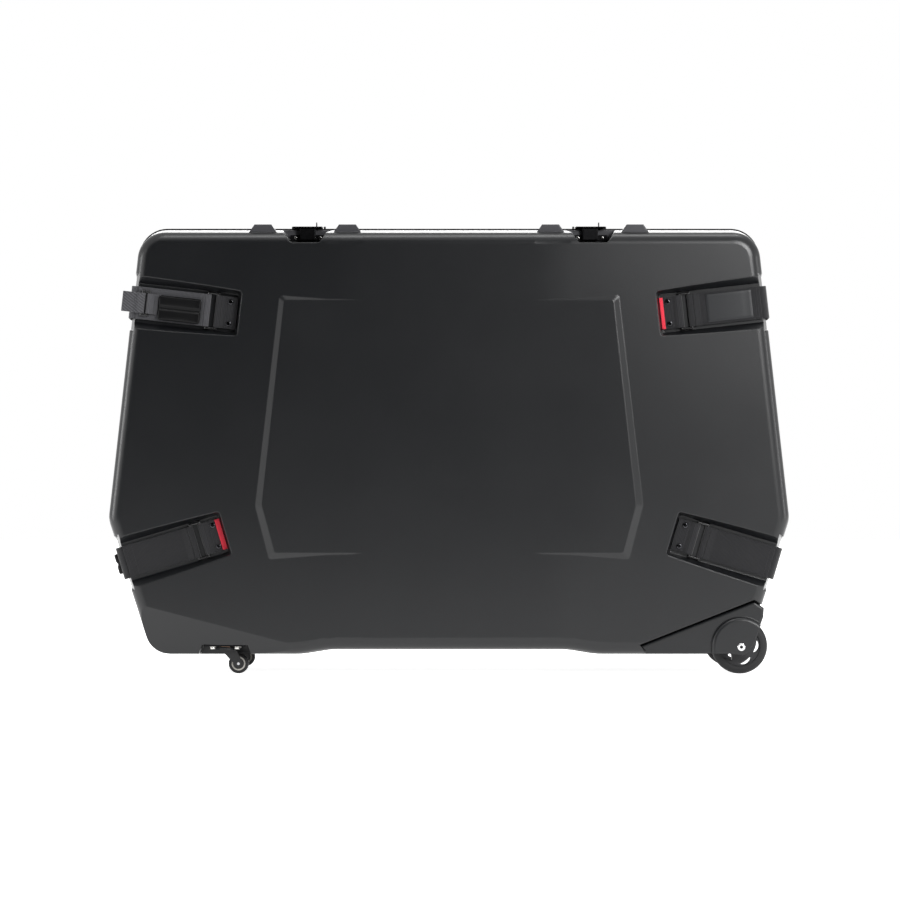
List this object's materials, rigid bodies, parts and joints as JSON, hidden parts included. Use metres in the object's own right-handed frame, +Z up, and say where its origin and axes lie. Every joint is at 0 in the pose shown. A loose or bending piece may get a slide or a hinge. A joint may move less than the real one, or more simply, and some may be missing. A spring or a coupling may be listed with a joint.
{
  "type": "bike travel case",
  "caption": "Hard two-half travel case for a bicycle, strapped at its sides, with top latches, side grips, fixed wheels at one end and swivel casters at the other.",
  "frame": {"origin": "middle of the footprint, on the floor the wheels stand on", "axes": "+X along the case to the fixed-wheel end, -Y out of the front half, +Z up"},
  "size_m": [1.2354, 0.32, 0.8157],
  "materials": {
    "shell": "satin charcoal with a fine woven grain",
    "rim": "matte black",
    "seal": "matte black",
    "foam": "soft open-cell dark grey",
    "webbing": "woven black",
    "grip": "padded, woven dark grey",
    "tag": "woven red",
    "patch": "smooth satin black",
    "tab": "matte black",
    "wire": "gloss black wire",
    "screw": "dull zinc",
    "latch": "satin black",
    "housing": "matte black",
    "axle": "polished",
    "tyre": "matte black",
    "wheel_core": "satin dark grey",
    "bearing": "ground steel",
    "caster_plate": "zinc plated",
    "caster_fork": "satin black",
    "caster_hub": "pale grey",
    "buckle": "black"
  },
  "bodies": {
    "back_half": {"back_shell": "shell", "back_rim": "rim", "rim_seal": "seal", "back_foam_mat": "foam", "tie_straps": "webbing", "tie_buckles": "buckle", "back_backing_plates": "screw", "back_strap_anchors": "tab", "back_screws": "screw", "side_grip": "grip", "back_wheel_housing": "housing", "back_wheel_axle": "axle", "back_caster_plate": "caster_plate", "latch_bases": "latch", "latch_pins": "screw", "upper_right_strap_back": "webbing", "upper_left_strap_back": "webbing", "lower_right_strap_back": "webbing", "lower_left_strap_back": "webbing"},
    "front_half": {"front_shell": "shell", "front_rim": "rim", "front_foam_mat": "foam", "strap_tabs": "tab", "strap_rings": "wire", "front_screws": "screw", "front_backing_plates": "screw", "side_tags": "tag", "front_wheel_housing": "housing", "front_wheel_axle": "axle", "front_caster_plate": "caster_plate", "latch_keepers": "latch", "upper_right_strap_front": "webbing", "upper_left_strap_front": "webbing", "lower_right_strap_front": "webbing", "lower_left_strap_front": "webbing"},
    "upper_right_flap": {"upper_right_flap": "webbing", "pull_patch": "patch"},
    "upper_left_flap": {"upper_left_flap": "webbing", "carry_grip": "grip", "carry_loop": "webbing", "carry_ring": "wire", "carry_tail": "webbing"},
    "lower_right_flap": {"lower_right_flap": "webbing"},
    "lower_left_flap": {"lower_left_flap": "webbing"},
    "left_latch_lever": {"left_latch_lever": "latch"},
    "right_latch_lever": {"right_latch_lever": "latch"},
    "front_wheel": {"front_wheel_tyre": "tyre", "front_wheel_core": "wheel_core", "front_wheel_bearings": "bearing"},
    "front_caster": {"front_caster_fork": "caster_fork", "front_caster_axle": "bearing"},
    "front_caster_wheel": {"front_caster_tyre": "tyre", "front_caster_hub": "caster_hub"},
    "back_wheel": {"back_wheel_tyre": "tyre", "back_wheel_core": "wheel_core", "back_wheel_bearings": "bearing"},
    "back_caster": {"back_caster_fork": "caster_fork", "back_caster_axle": "bearing"},
    "back_caster_wheel": {"back_caster_tyre": "tyre", "back_caster_hub": "caster_hub"}
  },
  "joints": [
    {"name": "front_half_lift_off", "type": "slide", "parent": "back_half", "child": "front_half", "axis": [0, -1, 0], "range_m": [0, 0.4]},
    {"name": "upper_right_flap_fold", "type": "hinge", "parent": "front_half", "child": "upper_right_flap", "pos_m": [0.43822, -0.1374, 0.65188], "axis": [0.1115, 0, -0.9938], "range_deg": [0, 150]},
    {"name": "upper_left_flap_fold", "type": "hinge", "parent": "front_half", "child": "upper_left_flap", "pos_m": [-0.43822, -0.1374, 0.65188], "axis": [0.1115, 0, 0.9938], "range_deg": [0, 100]},
    {"name": "lower_right_flap_fold", "type": "hinge", "parent": "front_half", "child": "lower_right_flap", "pos_m": [0.46106, -0.1374, 0.23498], "axis": [-0.284, 0, -0.9588], "range_deg": [0, 150]},
    {"name": "lower_left_flap_fold", "type": "hinge", "parent": "front_half", "child": "lower_left_flap", "pos_m": [-0.46106, -0.1374, 0.23498], "axis": [-0.284, 0, 0.9588], "range_deg": [0, 150]},
    {"name": "left_latch_turn", "type": "hinge", "parent": "back_half", "child": "left_latch_lever", "pos_m": [-0.257, 0.022, 0.80673], "axis": [-1, 0, 0], "range_deg": [0, 110]},
    {"name": "right_latch_turn", "type": "hinge", "parent": "back_half", "child": "right_latch_lever", "pos_m": [0.257, 0.022, 0.80673], "axis": [-1, 0, 0], "range_deg": [0, 110]},
    {"name": "front_wheel_roll", "type": "hinge", "parent": "front_half", "child": "front_wheel", "pos_m": [0.5215, -0.105, 0.05], "axis": [0, 1, 0], "continuous": true},
    {"name": "front_caster_swivel", "type": "hinge", "parent": "front_half", "child": "front_caster", "pos_m": [-0.401, -0.1, 0.045], "axis": [0, 0, 1], "continuous": true},
    {"name": "front_caster_roll", "type": "hinge", "parent": "front_caster", "child": "front_caster_wheel", "pos_m": [-0.378, -0.1, 0.018], "axis": [0, 1, 0], "continuous": true},
    {"name": "back_wheel_roll", "type": "hinge", "parent": "back_half", "child": "back_wheel", "pos_m": [0.5215, 0.105, 0.05], "axis": [0, 1, 0], "continuous": true},
    {"name": "back_caster_swivel", "type": "hinge", "parent": "back_half", "child": "back_caster", "pos_m": [-0.401, 0.1, 0.045], "axis": [0, 0, 1], "continuous": true},
    {"name": "back_caster_roll", "type": "hinge", "parent": "back_caster", "child": "back_caster_wheel", "pos_m": [-0.378, 0.1, 0.018], "axis": [0, 1, 0], "continuous": true}
  ]
}
